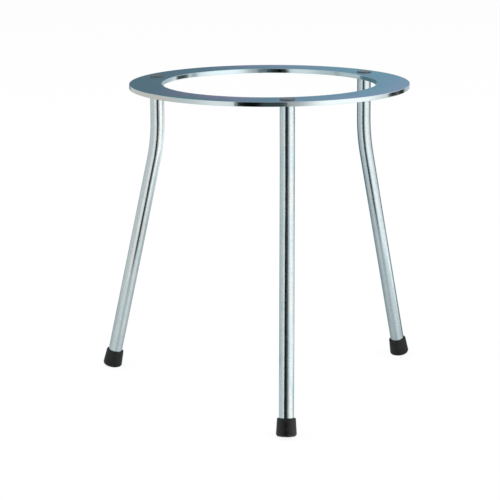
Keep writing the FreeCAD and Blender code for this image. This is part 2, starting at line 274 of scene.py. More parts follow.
class StageValues(bpy.types.PropertyGroup):
    """Camera, lamps, floor and the cards that the metal mirrors."""

    camera_distance: length("Camera distance", "Camera to the middle of the ring's top", 1.0985)
    camera_height: angle("Camera height", "Camera above the ring's top", 7.607)
    camera_side: angle("Camera side", "Camera to the left of the front leg", 7.783)
    camera_turn: angle("Camera turn", "Camera's aim to the right of straight back", 7.1925)
    camera_pitch: angle("Camera pitch", "Camera's aim below level", 12.499)
    camera_roll: angle("Camera roll", "Camera's tilt about its aim", 0.256)
    focal_pixels: FloatProperty(name="Focal length", description="Focal length in image pixels",
                                default=1959.5, min=1.0)
    floor_size: length("Floor size", "Width of the floor", 24.0)
    floor_colour: colour("Floor colour", "Plain pale floor", (0.93, 0.93, 0.93))
    floor_white: share("Floor white", "Share of plain white in what the camera sees of the floor", 0.9)
    lamp_level: level("Lamp level", "Brightness of the soft lamps", 1.0)
    room_level: level("Room level", "Brightness of the room on matt surfaces", 0.35)
    table_left: level("Table left", "Brightness of the table top in metal, left of the stand", 0.58)
    table_right: level("Table right", "Brightness of the table top in metal, right of the stand", 1.85)
    table_front: level("Table front", "Added brightness of the table top in front of the stand", 0.35)
    table_far: share("Table far", "Share of the table top's brightness left far behind the stand", 0.4)
    table_mirror: share("Table mirror", "Share of the cards in what metal sees of the table top", 0.4)
    left_card: levels("Left card", "left card, beside and in front of the stand", (0.83, 1.17))
    right_card_front: levels("Right card front", "right card at its front and middle", (0.62, 1.58))
    right_card_back: levels("Right card back", "right card at its middle and back", (1.58, 1.08))
    right_card_end: levels("Right card end", "right card's end behind the stand", (1.5, 1.5))
    right_gap: levels("Right gap", "dim slot in the right card", (0.03, 0.03))
    right_low: levels("Right low", "dim room low behind the stand, at the right", (0.3, 0.3))
    front_gap: levels("Front gap", "dim room between the cards in front", (0.004, 0.085))
    left_gap: levels("Left gap", "dim room behind the left card", (0.30, 0.30))
    back_card: levels("Back card", "grey card far behind, left and right", (0.205, 0.58))


class StandValues(bpy.types.PropertyGroup):
    """Everything that a user would change."""

    ring: PointerProperty(type=RingSizes)
    leg: PointerProperty(type=LegSizes)
    foot: PointerProperty(type=FootSizes)
    finish: PointerProperty(type=FinishValues)
    stage: PointerProperty(type=StageValues)


def head_place(side):
    """Middle of a leg's head on the ring."""
    return Vector(MOUNTS[f"gauze_rest_{side}"]["pos_m"])


def leg_direction(side):
    """Direction about +Z, from +X, in which a leg is bent outwards."""
    sole = Vector(MOUNTS[f"bench_rest_{side}"]["pos_m"])
    outwards = sole - head_place(side)
    return atan2(outwards.y, outwards.x)


def bearing(azimuth, distance, height=0.0):
    """A point by its azimuth from the front (-Y), turning to the right (+X)."""
    return Vector((distance * sin(azimuth), -distance * cos(azimuth), height))


def crown_radius(leg, foot):
    """Radius of the sole's crown."""
    base = leg.bar_radius + foot.base_wall
    return (base ** 2 + foot.crown ** 2) / (2 * foot.crown)


def leg_end_height(leg, foot):
    """Height of the bar's lower end above the bench, at its middle."""
    crown = crown_radius(leg, foot)
    return crown - foot.flat - (crown - foot.sole) * cos(leg.splay)


def bend_height(ring, leg):
    """Height at which the upright part of a leg ends."""
    return ring.top - ring.thickness - leg.straight_run


def lower_run(ring, leg, foot):
    """Straight length between the bend and the bar's lower end."""
    drop = bend_height(ring, leg) - leg.bend_radius * sin(leg.splay) - leg_end_height(leg, foot)
    return drop / cos(leg.splay)


def deselect_objects():
    """Leave nothing selected."""
    bpy.ops.object.select_all(action="DESELECT")


def select_only(obj):
    """Select one object and make it active."""
    deselect_objects()
    obj.select_set(True)
    bpy.context.view_layer.objects.active = obj


def draw_line(name, places):
    """Draw a line of edges from place to place."""
    deselect_objects()
    bpy.ops.mesh.primitive_plane_add(size=0.001)
    obj = bpy.context.active_object
    obj.name = name
    bpy.ops.object.mode_set(mode="EDIT")
    bpy.ops.mesh.select_mode(type="VERT")
    bpy.ops.mesh.select_all(action="SELECT")
    bpy.ops.mesh.merge(type="CENTER")
    places = [Vector(place) for place in places]
    bpy.ops.transform.translate(value=places[0])
    for start, end in zip(places, places[1:]):
        bpy.ops.mesh.extrude_region_move(TRANSFORM_OT_translate={"value": end - start})
    return obj


def draw_profile(name, points):
    """Draw a half section through points (radius, height), ready to be turned about the upright axis."""
    return draw_line(name, [(radius, 0.0, height) for radius, height in points])


def merge_points():
    """Join the points that lie on top of each other."""
    bpy.ops.mesh.select_all(action="SELECT")
    bpy.ops.mesh.remove_doubles(threshold=MERGE_DISTANCE)


def turn_profile(steps):
    """Spin the drawn line about the upright axis and close its seam and poles."""
    bpy.ops.mesh.select_all(action="SELECT")
    bpy.ops.mesh.spin(steps=steps, angle=2 * pi, center=(0, 0, 0), axis=(0, 0, 1))
    merge_points()
    bpy.ops.mesh.normals_make_consistent(inside=False)


def select_parts(obj, kind, test):
    """Select the edges or faces that pass a test."""
    bpy.ops.mesh.select_mode(type=kind)
    bpy.ops.mesh.select_all(action="DESELECT")
    mesh = bmesh.from_edit_mesh(obj.data)
    for part in {"EDGE": mesh.edges, "FACE": mesh.faces}[kind]:
        part.select_set(test(part))
    bmesh.update_edit_mesh(obj.data)


def round_ring_edge(obj, radius, height, rounding, segments):
    """Round the edge that runs round the axis at a radius and height."""
    def runs_round(edge):
        gaps = [hypot(v.co.xy.length - radius, v.co.z - height) for v in edge.verts]
        return max(gaps) < SAME_PLACE

    select_parts(obj, "EDGE", runs_round)
    bpy.ops.mesh.bevel(offset=rounding, segments=segments, affect="EDGES", clamp_overlap=False)


def apply_modifier(obj, kind, **settings):
    """Add a modifier, set it up and apply it."""
    select_only(obj)
    bpy.ops.object.modifier_add(type=kind)
    modifier = obj.modifiers[-1]
    for name, setting in settings.items():
        setattr(modifier, name, setting)
    bpy.ops.object.modifier_apply(modifier=modifier.name)


def place_piece(obj, placement):
    """Put a piece in its place and keep that place in its mesh."""
    select_only(obj)
    obj.matrix_world = placement
    bpy.ops.object.transform_apply(location=True, rotation=True, scale=True)


def copy_piece(obj, name):
    """Copy a piece with a mesh of its own."""
    select_only(obj)
    bpy.ops.object.duplicate(linked=False)
    copy = bpy.context.active_object
    copy.name = name
    copy.data.name = name
    return copy


def finish_piece(obj, node, material):
    """Shade a piece, give it its material, hang it on the root body and hide its node."""
    select_only(obj)
    bpy.ops.object.shade_smooth_by_angle(angle=SMOOTH_ANGLE)
    obj.data.materials.clear()
    obj.data.materials.append(material)
    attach(obj, "root")
    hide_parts(node)


def paint_faces(obj, material, test):
    """Give the faces that pass a test a material of their own."""
    select_only(obj)
    bpy.ops.object.material_slot_add()
    obj.active_material = material
    bpy.ops.object.mode_set(mode="EDIT")
    select_parts(obj, "FACE", test)
    bpy.ops.object.material_slot_assign()
    bpy.ops.object.mode_set(mode="OBJECT")


def model_ring(ring, leg):
    """Blanked plate ring with rounded edges and a hole for each tenon."""
    middle = (ring.outer_radius + ring.opening_radius) / 2
    band = ring.outer_radius - ring.opening_radius
    bottom = ring.top - ring.thickness
    deselect_objects()
    bpy.ops.mesh.primitive_plane_add(size=1.0, location=(middle, 0, (ring.top + bottom) / 2),
                                     rotation=(pi / 2, 0, 0))
    obj = bpy.context.active_object
    obj.name = "ring"
    obj.scale = (band, ring.thickness, 1.0)
    bpy.ops.object.transform_apply(location=True, rotation=True, scale=True)
    bpy.ops.object.mode_set(mode="EDIT")
    bpy.ops.mesh.delete(type="ONLY_FACE")
    turn_profile(ring.steps)
    for radius in (ring.opening_radius, ring.outer_radius):
        for height in (bottom, ring.top):
            round_ring_edge(obj, radius, height, ring.edge_radius, segments=5)
    hold_faces(obj, lambda face: abs(face.normal.z) > FLAT_FACE, ring.edge_radius)
    hold_faces(obj, lambda face: abs(face.normal.z) < UPRIGHT_FACE, ring.edge_radius)
    bpy.ops.object.mode_set(mode="OBJECT")
    for side in SIDES:
        drill_hole(obj, head_place(side), leg.tenon_radius + ring.tenon_clearance, ring)
    return obj


def hold_faces(obj, test, margin):
    """Run a loop of edges just inside a band of faces, so that it shades flat up to its rounding."""
    select_parts(obj, "FACE", test)
    bpy.ops.mesh.inset(thickness=margin, use_even_offset=True)


def drill_hole(obj, place, radius, ring):
    """Cut a round hole down through the plate."""
    deselect_objects()
    bpy.ops.mesh.primitive_cylinder_add(vertices=64, radius=radius, depth=4 * ring.thickness,
                                        location=(place.x, place.y, ring.top))
    drill = bpy.context.active_object
    apply_modifier(obj, "BOOLEAN", operation="DIFFERENCE", object=drill, solver="EXACT")
    bpy.data.objects.remove(drill)
    bpy.ops.object.mode_set(mode="EDIT")
    merge_points()
    bpy.ops.object.mode_set(mode="OBJECT")


def leg_profile(ring, leg, foot):
    """Half section of a leg as a straight bar from its lower end to its head; the bend's top is at 0."""
    bend = leg.bend_radius * leg.splay
    end = -bend - lower_run(ring, leg, foot)
    shoulder = leg.straight_run
    seat = shoulder + ring.thickness
    head = seat + leg.head_height
    bar = leg.bar_radius
    points = [(0.0, end), (bar - leg.end_chamfer, end), (bar, end + leg.end_chamfer)]
    points += [(bar, -bend * (1 - step / leg.bend_steps)) for step in range(leg.bend_steps + 1)]
    points += [(bar, shoulder), (leg.tenon_radius, shoulder), (leg.tenon_radius, seat)]
    points += [(leg.head_radius, seat), (leg.head_radius, head)]
    return points


def model_leg(ring, leg, foot):
    """Straight bar with its tenon and head, bent towards +Y below its upright part."""
    points = leg_profile(ring, leg, foot)
    head = points[-1][1]
    flat = leg.head_radius - leg.head_edge
    rings = 10
    points += [(flat * (1 - step / rings), head) for step in range(rings + 1)]
    obj = draw_profile("leg", points)
    turn_profile(leg.steps)
    round_ring_edge(obj, leg.head_radius, head, leg.head_edge, segments=6)
    bpy.ops.object.mode_set(mode="OBJECT")
    keep_place(obj)
    name_head(obj, leg.straight_run + ring.thickness)

    low, high = points[0][1], head
    bend = leg.bend_radius * leg.splay
    apply_modifier(obj, "SIMPLE_DEFORM", deform_method="BEND", deform_axis="X", angle=leg.splay,
                   limits=((-bend - low) / (high - low), -low / (high - low)))
    return obj


def keep_place(obj):
    """Keep each point's place before it is bent or tilted, for patterns that follow the piece."""
    places = [number for vertex in obj.data.vertices for number in vertex.co]
    attribute = obj.data.attributes.new(STRAIGHT_PLACE, "FLOAT_VECTOR", "POINT")
    attribute.data.foreach_set("vector", places)


def name_head(obj, seat):
    """Put the points of the peened head in a group."""
    group = obj.vertex_groups.new(name="head")
    group.add([v.index for v in obj.data.vertices if v.co.z > seat + SAME_PLACE], 1.0, "REPLACE")


def peen_head(obj, leg, marks):
    """Hammer the head: shallow dents in its top."""
    apply_modifier(obj, "DISPLACE", texture=marks, texture_coords="LOCAL", direction="Z",
                   mid_level=1.0, strength=leg.peen_depth, vertex_group="head")


def hammer_marks(leg):
    """Texture of round dents that touch each other."""
    marks = bpy.data.textures.new("hammer_marks", "VORONOI")
    marks.noise_scale = leg.peen_size
    marks.distance_metric = "DISTANCE"
    return marks


def foot_profile(leg, foot):
    """Half section of a foot about the bar, with the bar's end at 0, from the socket to the sole."""
    socket = leg.bar_radius + foot.clearance
    lip = (leg.bar_radius + foot.lip_wall, foot.height - foot.sole)
    base = (leg.bar_radius + foot.base_wall, foot.crown - foot.sole)
    crown = crown_radius(leg, foot)
    widest = asin(base[0] / crown)
    steps = 8
    dome = [widest * (1 - step / steps) for step in range(1, steps + 1)]
    points = [(0.0, 0.0), (socket, 0.0), (socket, lip[1]), lip, base]
    return points + [(crown * sin(turn), crown * (1 - cos(turn)) - foot.sole) for turn in dome]


def model_foot(leg, foot):
    """Rubber cap with a crowned sole, cut flat where it stands on the bench."""
    points = foot_profile(leg, foot)
    mouth, lip, base = points[2:5]
    obj = draw_profile("foot", points)
    turn_profile(foot.steps)
    for radius, height in (mouth, lip):
        round_ring_edge(obj, radius, height, foot.lip_rounding, segments=4)
    round_ring_edge(obj, *base, foot.base_rounding, segments=6)
    bpy.ops.object.mode_set(mode="OBJECT")
    keep_place(obj)
    bpy.ops.object.mode_set(mode="EDIT")
    bpy.ops.mesh.select_all(action="SELECT")
    down = Vector((-sin(leg.splay), 0, -cos(leg.splay)))
    bpy.ops.mesh.bisect(plane_co=down * leg_end_height(leg, foot), plane_no=down,
                        use_fill=True, clear_outer=True, threshold=MERGE_DISTANCE)
    bpy.ops.object.mode_set(mode="OBJECT")
    return obj


def new_material(name):
    """Start a material with an empty node tree."""
    material = bpy.data.materials.new(name)
    material.use_nodes = True
    material.node_tree.nodes.clear()
    return material, material.node_tree


def new_group(name, inputs, outputs):
    """Start a node group with named sockets; the kinds are Float, Vector and Color."""
    group = bpy.data.node_groups.new(name, "ShaderNodeTree")
    for direction, sockets in (("INPUT", inputs), ("OUTPUT", outputs)):
        for socket, kind in sockets.items():
            group.interface.new_socket(name=socket, in_out=direction, socket_type=f"NodeSocket{kind}")
    return group, group.nodes.new("NodeGroupInput").outputs, group.nodes.new("NodeGroupOutput").inputs


def add_node(tree, kind, **settings):
    """Add a shader node."""
    node = tree.nodes.new(f"ShaderNode{kind}")
    for name, setting in settings.items():
        setattr(node, name, setting)
    return node


def put(tree, socket, source):
    """Link a socket to another, or set its value."""
    if isinstance(source, bpy.types.NodeSocket):
        tree.links.new(source, socket)
    else:
        socket.default_value = source


def fill(tree, node, sources):
    """Fill a node's inputs in their order."""
    for socket, source in zip(node.inputs, sources):
        put(tree, socket, source)
    return node


def feed(tree, node, **inputs):
    """Fill a node's inputs by name, with _ for a space."""
    for name, source in inputs.items():
        put(tree, node.inputs[name.replace("_", " ")], source)
    return node


def rgba(values):
    """A colour with full alpha."""
    return (*values, 1.0)


def calc(tree, operation, *values):
    """Work out a number."""
    return fill(tree, add_node(tree, "Math", operation=operation), values).outputs[0]


def vector_calc(tree, operation, *vectors):
    """Work with vectors, to a number where the operation gives one."""
    node = fill(tree, add_node(tree, "VectorMath", operation=operation), vectors)
    return node.outputs["Value" if operation in ("LENGTH", "DOT_PRODUCT", "DISTANCE") else "Vector"]


def ramp(tree, value, start, end, low=0.0, high=1.0):
    """Go smoothly from low to high as a value goes from start to end."""
    node = add_node(tree, "MapRange", interpolation_type="SMOOTHSTEP")
    return fill(tree, node, (value, start, end, low, high)).outputs[0]


def blend(tree, factor, first, second):
    """Mix two colours."""
    node = add_node(tree, "Mix", data_type="RGBA")
    for index, source in zip(MIX_INPUTS, (factor, first, second)):
        put(tree, node.inputs[index], source)
    return node.outputs[MIX_RESULT]


def noise(tree, place, size, detail=2.0):
    """Soft noise with features of about a size."""
    node = add_node(tree, "TexNoise")
    feed(tree, node, Vector=place, Scale=calc(tree, "DIVIDE", 1.0, size), Detail=detail)
    return node.outputs[0]


def use_group(tree, make, **inputs):
    """Put a node group into a tree; the group is made the first time it is asked for."""
    node = add_node(tree, "Group")
    node.node_tree = bpy.data.node_groups.get(make.__name__) or make()
    return feed(tree, node, **inputs).outputs


def object_place(tree):
    """Place on the object, in metres."""
    return add_node(tree, "TexCoord").outputs["Object"]


def straight_place(tree):
    """Place on the piece before it was bent or tilted."""
    return add_node(tree, "Attribute", attribute_name=STRAIGHT_PLACE).outputs["Vector"]


def part_of(tree, place, axis):
    """A place's part along an axis."""
    return feed(tree, add_node(tree, "SeparateXYZ"), Vector=place).outputs[axis]


def squeeze_height(tree, place, factor):
    """A place with its height made smaller, so that patterns on it are drawn out upwards."""
    return vector_calc(tree, "MULTIPLY", place, (1.0, 1.0, factor))


def level_part(tree, place):
    """A place without its height."""
    return squeeze_height(tree, place, 0.0)


def from_axis(tree, place):
    """Distance of a place from the upright axis."""
    return vector_calc(tree, "LENGTH", level_part(tree, place))


def facing(tree, place, azimuth):
    """Cosine of the turn round the upright axis from a place to an azimuth from the front."""
    outwards = vector_calc(tree, "NORMALIZE", level_part(tree, place))
    return vector_calc(tree, "DOT_PRODUCT", outwards, bearing(azimuth, 1.0))


def mottle():
    """Clouds of three colours that run into each other."""
    group, given, result = new_group(
        "mottle",
        {"Place": "Vector", "Size": "Float", "Main": "Color", "Second": "Color", "Third": "Color"},
        {"Colour": "Color"})
    larger = calc(group, "MULTIPLY", given["Size"], 1.7)
    first = ramp(group, noise(group, given["Place"], given["Size"], detail=3.0), start=0.42, end=0.60)
    second = ramp(group, noise(group, given["Place"], larger, detail=2.0), start=0.50, end=0.64)
    clouds = blend(group, first, given["Main"], given["Second"])
    put(group, result["Colour"], blend(group, second, clouds, given["Third"]))
    return group


def plating_grain():
    """Fine uneven grain with small specks, on plating and on rubber."""
    group, given, result = new_group("plating_grain", {"Place": "Vector", "Size": "Float"},
                                     {"Height": "Float", "Specks": "Float"})
    larger = calc(group, "MULTIPLY", given["Size"], 2.3)
    specks = ramp(group, noise(group, given["Place"], larger, detail=1.0), start=0.60, end=0.74)
    put(group, result["Height"], noise(group, given["Place"], given["Size"], detail=3.0))
    put(group, result["Specks"], specks)
    return group


def tool_lines():
    """Fine lines along one axis, as drawing or shearing leaves them."""
    group, given, result = new_group("tool_lines", {"Place": "Vector", "Width": "Float"},
                                     {"Height": "Float", "Shade": "Float"})
    wider = calc(group, "MULTIPLY", given["Width"], 4.0)
    shade = ramp(group, noise(group, given["Place"], wider, detail=3.0), start=0.35, end=0.70)
    put(group, result["Height"], noise(group, given["Place"], given["Width"], detail=2.0))
    put(group, result["Shade"], shade)
    return group


def raise_bump(tree, height, distance, base=None):
    """Turn a height from 0 to 1 into a shading normal, on top of another if one is given."""
    node = feed(tree, add_node(tree, "Bump"), Height=height, Distance=distance, Strength=1.0)
    if base:
        put(tree, node.inputs["Normal"], base)
    return node.outputs["Normal"]


def end_tree(tree, kind, shader):
    """Lead a shader to the output of a material or a world."""
    put(tree, add_node(tree, f"Output{kind}").inputs["Surface"], shader.outputs[0])


def finish_surface(tree, **inputs):
    """End a material in one Principled shader."""
    end_tree(tree, "Material", feed(tree, add_node(tree, "BsdfPrincipled"), **inputs))


def violet_share(tree, finish, ring, place):
    """Share of violet in the film: patches on the inner or outer side of the plate."""
    radius = from_axis(tree, place)
    inner_full = ring.opening_radius + 0.3 * (ring.outer_radius - ring.opening_radius)
    sides = {"inner": ramp(tree, radius, ring.outer_radius, inner_full),
             "outer": ramp(tree, radius, ring.opening_radius, ring.outer_radius)}
    violet = 0.0
    for side, azimuth, start, full, most in VIOLET_PARTS:
        part = ramp(tree, facing(tree, place, radians(azimuth)), start, full, high=most)
        violet = calc(tree, "MAXIMUM", violet, calc(tree, "MULTIPLY", sides[side], part))
    patches = ramp(tree, noise(tree, place, finish.violet_cloud), start=0.3, end=0.7, low=0.5)
    return calc(tree, "MULTIPLY", violet, patches)


def head_stain(tree, finish, leg, place):
    """Share of staining and painted shade round the heads on the plate, with a ragged edge."""
    reach, most = 1.35 * leg.head_radius, 0.75
    away = 1.0
    for side in SIDES:
        head = head_place(side).xy.to_3d()
        away = calc(tree, "MINIMUM", away, vector_calc(tree, "DISTANCE", level_part(tree, place), head))
    ragged = calc(tree, "MULTIPLY_ADD", noise(tree, place, finish.stain_cloud),
                  2 * finish.stain_ragged, -finish.stain_ragged)
    return ramp(tree, calc(tree, "ADD", away, ragged), reach, leg.head_radius, high=most)


def plate_film_finish(finish, ring, leg):
    """Zinc with a blue film on the plate's faces, violet in parts, with staining and painted shade round
    the heads.
    """
    speck_rough, stain_shade_rough, stain_shade_dull = 0.06, 0.2, 0.6
    material, tree = new_material("plate_film")
    place = object_place(tree)
    film = use_group(tree, mottle, Place=place, Size=finish.film_cloud, Main=rgba(finish.film_blue),
                     Second=rgba(finish.film_teal), Third=rgba(finish.film_blue))["Colour"]
    film = blend(tree, violet_share(tree, finish, ring, place), film, rgba(finish.film_violet))
    grain = use_group(tree, plating_grain, Place=place, Size=finish.plate_grain)
    # Staining and painted shade round the heads: darker, less metallic and rougher
    stain = head_stain(tree, finish, leg, place)
    rough = calc(tree, "MULTIPLY_ADD", grain["Specks"], speck_rough, finish.plate_roughness)
    finish_surface(tree, Base_Color=blend(tree, stain, film, rgba(finish.stain)),
                   Metallic=calc(tree, "MULTIPLY_ADD", stain, -stain_shade_dull, 1.0),
                   Roughness=calc(tree, "MULTIPLY_ADD", stain, stain_shade_rough, rough),
                   Normal=raise_bump(tree, grain["Height"], finish.plate_grain_height),
                   Specular_Tint=rgba(finish.film_sheen))
    return material


def plate_wall_finish(finish, ring):
    """Sheared walls in zinc: upright tool lines, bluer painted shade in the opening, warmer painted
    light at the left.
    """
    speck_rough = 0.06
    warm_light_start, warm_light_full = -0.7 * ring.outer_radius, -0.85 * ring.outer_radius
    material, tree = new_material("plate_wall")
    place = object_place(tree)
    # Painted warm light: the walls turn warmer towards the left
    warm_light = ramp(tree, part_of(tree, place, "X"), warm_light_start, warm_light_full)
    zinc = blend(tree, warm_light, rgba(finish.bright_zinc), rgba(finish.warm_zinc))
    # Painted shade: the ring's inner wall turns bluer and darker
    inside = ramp(tree, from_axis(tree, place), ring.outer_radius, ring.opening_radius)
    zinc = blend(tree, inside, zinc, rgba(finish.blue_zinc))
    grain = use_group(tree, plating_grain, Place=place, Size=finish.plate_grain)
    shear = use_group(tree, tool_lines, Place=squeeze_height(tree, place, factor=0.06),
                      Width=finish.shear_width)
    rough = calc(tree, "MULTIPLY_ADD", grain["Specks"], speck_rough, finish.wall_roughness)
    normal = raise_bump(tree, shear["Height"], finish.shear_height)
    finish_surface(tree, Base_Color=zinc, Metallic=1.0, Roughness=rough,
                   Normal=raise_bump(tree, grain["Height"], finish.plate_grain_height, normal),
                   Specular_Tint=rgba(finish.wall_sheen))
    return material


def bar_zinc(tree, finish, place):
    """Bars' plating: upright clouds, left leg paler by painted light, right leg darker by painted shade.
    """
    near, far, most = 0.01, 0.06, 0.45
    zinc = use_group(tree, mottle, Place=squeeze_height(tree, place, factor=0.15), Size=finish.bar_cloud,
                     Main=rgba(finish.bright_zinc), Second=rgba(finish.blue_zinc),
                     Third=rgba(finish.pale_zinc))["Colour"]
    across = part_of(tree, place, "X")
    # Painted light on the left leg, painted shade on the right leg
    zinc = blend(tree, ramp(tree, across, -near, -far, high=most), zinc, rgba(finish.left_zinc))
    return blend(tree, ramp(tree, across, near, far, high=most), zinc, rgba(finish.right_zinc))


def head_masks(tree, ring, leg, place, bar):
    """Where the peened head is, with staining and painted shade at its seat and painted shade at its
    edge.
    """
    start, seat_full, seat_end = ring.top + 0.00004, ring.top + 0.0003, ring.top + 0.00055
    edge_start, edge_full, edge_most = 0.75 * leg.head_radius, 0.95 * leg.head_radius, 0.65
    height = part_of(tree, place, "Z")
    head = ramp(tree, height, ring.top, start)
    # Staining and painted shade low on the head's side, where it meets the plate
    seat = calc(tree, "MULTIPLY", head, ramp(tree, height, seat_end, seat_full))
    # Painted shade round the head's top edge
    edge = ramp(tree, from_axis(tree, bar), edge_start, edge_full, high=edge_most)
    return head, calc(tree, "MAXIMUM", seat, calc(tree, "MULTIPLY", head, edge))


def plated_leg_finish(finish, ring, leg):
    """Zinc on drawn bar, with its hammered head on top of the ring, with painted shade and staining
    round its edge.
    """
    shade_rough, speck_rough, head_rough, dark_dull = 0.06, 0.05, 0.25, 0.5
    material, tree = new_material("plated_leg")
    place, bar = object_place(tree), straight_place(tree)
    grain = use_group(tree, plating_grain, Place=bar, Size=finish.bar_grain)
    drawn = use_group(tree, tool_lines, Place=squeeze_height(tree, bar, factor=0.02),
                      Width=finish.draw_width)
    head, seat_stain_and_edge_shade = head_masks(tree, ring, leg, place, bar)

    pits = ramp(tree, grain["Height"], start=0.42, end=0.66, high=0.18)
    metal_colour = blend(tree, pits, bar_zinc(tree, finish, place), rgba(finish.hammered))
    metal_colour = blend(tree, head, metal_colour, rgba(finish.hammered))
    smooth = finish.bar_roughness - shade_rough / 2
    rough = calc(tree, "MULTIPLY_ADD", drawn["Shade"], shade_rough, smooth)
    rough = calc(tree, "MULTIPLY_ADD", grain["Specks"], speck_rough, rough)
    waves = noise(tree, squeeze_height(tree, bar, factor=0.5), finish.wave_width)
    normal = raise_bump(tree, waves, finish.wave_height)
    normal = raise_bump(tree, drawn["Height"], finish.draw_height, normal)
    # Staining and painted shade at the head's seat and edge: darker and less metallic
    finish_surface(tree, Base_Color=blend(tree, seat_stain_and_edge_shade, metal_colour, rgba(finish.stain)),
                   Metallic=calc(tree, "MULTIPLY_ADD", seat_stain_and_edge_shade, -dark_dull, 1.0),
                   Roughness=calc(tree, "MULTIPLY_ADD", head, head_rough, rough),
                   Normal=raise_bump(tree, grain["Height"], finish.bar_grain_height, normal),
                   Specular_Tint=rgba(finish.bar_sheen))
    return material


def rubber_finish(finish, foot):
    """Matt black rubber with a little dust at its lip and sole."""
    lip_height, base_height = foot.height - foot.sole, foot.crown - foot.sole
    lip_reach, base_reach = 0.0009, 0.0014
    edge_dust, plain_dust, dust_rough = 0.5, 0.35, 0.10
    material, tree = new_material("foot_rubber")
    place = straight_place(tree)
    height = part_of(tree, place, "Z")
    lip = ramp(tree, height, lip_height - lip_reach, lip_height)
    base = ramp(tree, height, base_height + base_reach, base_height)
    cloud = ramp(tree, noise(tree, place, finish.rubber_cloud, detail=3.0), start=0.40, end=0.70)
    dust = calc(tree, "MULTIPLY_ADD", calc(tree, "MAXIMUM", lip, base), edge_dust, plain_dust)
    dust = calc(tree, "MULTIPLY", dust, cloud)
    grain = use_group(tree, plating_grain, Place=place, Size=finish.rubber_grain)
    finish_surface(tree, Base_Color=blend(tree, dust, rgba(finish.rubber), rgba(finish.rubber_dust)),
                   Roughness=calc(tree, "MULTIPLY_ADD", cloud, dust_rough, finish.rubber_roughness),
                   Normal=raise_bump(tree, grain["Height"], finish.rubber_grain_height),
                   Specular_IOR_Level=finish.rubber_gloss)
    return material


def shown_white(tree):
    """1 where a floor or room shows as plain white: to the camera, in metal and through glass."""
    path = add_node(tree, "LightPath").outputs
    seen = calc(tree, "MAXIMUM", path["Is Camera Ray"], path["Is Glossy Ray"])
    return calc(tree, "MAXIMUM", seen, path["Is Transmission Ray"])


def mix_shaders(tree, factor, first, second):
    """Mix two shaders."""
    return fill(tree, add_node(tree, "MixShader"), (factor, first.outputs[0], second.outputs[0]))


def floor_finish(stage):
    """Pale floor that shows white and keeps the stand's shadow."""
    material, tree = new_material("floor")
    pale = feed(tree, add_node(tree, "BsdfDiffuse"), Color=rgba(stage.floor_colour))
    white = feed(tree, add_node(tree, "Emission"), Color=rgba(WHITE), Strength=1.0)
    shown = calc(tree, "MULTIPLY", shown_white(tree), stage.floor_white)
    end_tree(tree, "Material", mix_shaders(tree, shown, pale, white))
    return material


def card_finish(stage, name):
    """Card that is seen by its own light, with brightness and tint changing along an axis."""
    axis, start, end = CARD_FADES.get(name, NO_FADE)
    tints = CARD_TINTS.get(name, (WHITE, WHITE))
    material, tree = new_material(name)
    along = ramp(tree, part_of(tree, object_place(tree), axis), start, end)
    glow = feed(tree, add_node(tree, "Emission"), Color=blend(tree, along, *map(rgba, tints)),
                Strength=ramp(tree, along, 0.0, 1.0, *getattr(stage, name)))
    end_tree(tree, "Material", glow)
    return material


def table_finish(stage):
    """White table top with a smooth face that mirrors the cards, brighter to the right and in front."""
    material, tree = new_material("table_top")
    place = object_place(tree)
    across, back = part_of(tree, place, "X"), part_of(tree, place, "Y")
    rightwards = ramp(tree, calc(tree, "MULTIPLY_ADD", back, TABLE_SLANT, across), *TABLE_RIGHT)
    strength = ramp(tree, rightwards, 0.0, 1.0, stage.table_left, stage.table_right)
    strength = calc(tree, "ADD", strength, ramp(tree, back, *TABLE_FRONT, high=stage.table_front))
    far = ramp(tree, back, *TABLE_FAR, low=1.0, high=stage.table_far)
    glow = feed(tree, add_node(tree, "Emission"), Strength=calc(tree, "MULTIPLY", strength, far),
                Color=blend(tree, rightwards, rgba(TABLE_TINT), rgba(WHITE)))
    mirror = feed(tree, add_node(tree, "BsdfGlossy"), Color=rgba(WHITE), Roughness=TABLE_ROUGHNESS)
    end_tree(tree, "Material", mix_shaders(tree, stage.table_mirror, glow, mirror))
    return material


def add_card(name, material):
    """Flat card, seen only in metal."""
    start, end, sweep = CARDS[name]
    obj = draw_line(name, (start, end))
    bpy.ops.mesh.select_all(action="SELECT")
    bpy.ops.mesh.extrude_region_move(TRANSFORM_OT_translate={"value": sweep})
    bpy.ops.object.mode_set(mode="OBJECT")
    obj.data.materials.append(material)
    for ray in ("camera", "diffuse", "transmission", "volume_scatter", "shadow"):
        setattr(obj, f"visible_{ray}", False)


def add_cards(stage):
    """Table top and cards round the stand, the dim gaps between them and a grey card far behind."""
    for name in CARDS:
        add_card(name, table_finish(stage) if name == "table_top" else card_finish(stage, name))


def add_object(name, contents):
    """Put a lamp or a camera into the scene."""
    obj = bpy.data.objects.new(name, contents)
    bpy.context.scene.collection.objects.link(obj)
    return obj


def add_softbox(name, place, aim, width, height, brightness):
    """Large soft lamp that faces a point."""
    lamp = bpy.data.lights.new(name, "AREA")
    lamp.shape = "RECTANGLE"
    lamp.size = width
    lamp.size_y = height
    lamp.energy = brightness * pi * width * height
    obj = add_object(name, lamp)
    turn = (Vector(aim) - Vector(place)).to_track_quat("-Z", "Y")
    obj.matrix_world = Matrix.Translation(place) @ turn.to_matrix().to_4x4()
    obj.visible_camera = False
    obj.visible_glossy = False


def add_lamps(stage):
    """Large soft lamps from both sides and above."""
    distance, height, aim, side_size = 1.2, 0.7, (0, 0, 0.1), (1.6, 1.2)
    for name, azimuth in (("left_lamp", -80), ("right_lamp", 50)):
        place = bearing(radians(azimuth), distance, height)
        add_softbox(name, place, aim, *side_size, stage.lamp_level)
    ceiling, top_size = (0, 0, 3.0), (7.0, 7.0)
    add_softbox("top_lamp", ceiling, (0, 0, 0), *top_size, stage.lamp_level)


